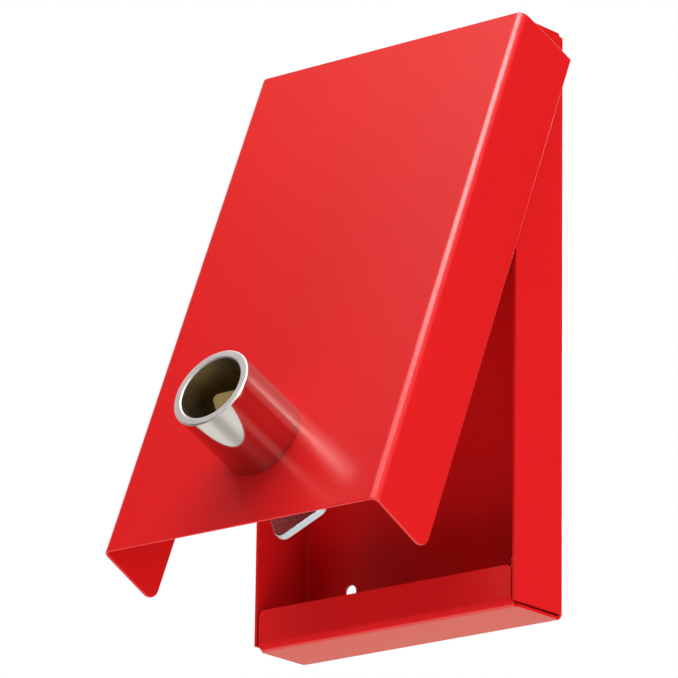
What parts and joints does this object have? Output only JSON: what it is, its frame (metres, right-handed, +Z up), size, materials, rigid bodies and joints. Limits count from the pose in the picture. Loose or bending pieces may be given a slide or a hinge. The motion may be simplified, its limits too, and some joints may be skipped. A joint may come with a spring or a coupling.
{
  "type": "emergency key box",
  "caption": "Wall-mounted key box of red folded sheet steel; its top-hinged lid opens with a triangular socket key reaching down a chromed guard tube to a cam lock.",
  "frame": {"origin": "centre of the four wall holes, on the back face of the box", "axes": "+X to the right as seen from the front, +Y into the wall, +Z up"},
  "size_m": [0.1168, 0.124, 0.2075],
  "materials": {
    "red_powder_coat": "semi-gloss powder coat on 1 mm steel",
    "chrome_plate": "bright chrome plate",
    "turned_brass": "turned and milled, bare",
    "zinc_plate": "bright zinc plate",
    "hinge_steel": "rolled steel strip, zinc plated",
    "pin_steel": "drawn steel wire",
    "spring_steel": "hardened, phosphated",
    "rivet_aluminium": "plain",
    "nitrile_rubber": "matte black"
  },
  "bodies": {
    "box": {"box_shell": "red_powder_coat", "hinge_box_leaf_left": "hinge_steel", "hinge_box_leaf_right": "hinge_steel", "hinge_pin_left": "pin_steel", "hinge_pin_right": "pin_steel", "key_hook": "zinc_plate", "hook_rivets": "rivet_aluminium"},
    "lid": {"lid_shell": "red_powder_coat", "hinge_lid_leaf_left": "hinge_steel", "hinge_lid_leaf_right": "hinge_steel", "guard_tube": "chrome_plate", "lock_body": "turned_brass", "tooth_washer": "spring_steel", "lock_nut": "zinc_plate"},
    "spindle": {"spindle": "turned_brass", "o_ring": "nitrile_rubber", "stop_disc": "zinc_plate", "cam": "zinc_plate", "cam_washer": "zinc_plate", "spring_washer": "spring_steel", "cam_screw": "zinc_plate"}
  },
  "joints": [
    {"name": "lid_hinge", "type": "hinge", "parent": "box", "child": "lid", "pos_m": [0, -0.0264, 0.0984], "axis": [1, 0, 0], "range_deg": [0, 22.2]},
    {"name": "spindle_turn", "type": "hinge", "parent": "lid", "child": "spindle", "pos_m": [0, -0.09114, -0.05177], "axis": [0, -0.9259, 0.3778], "range_deg": [-31, 59]}
  ]
}
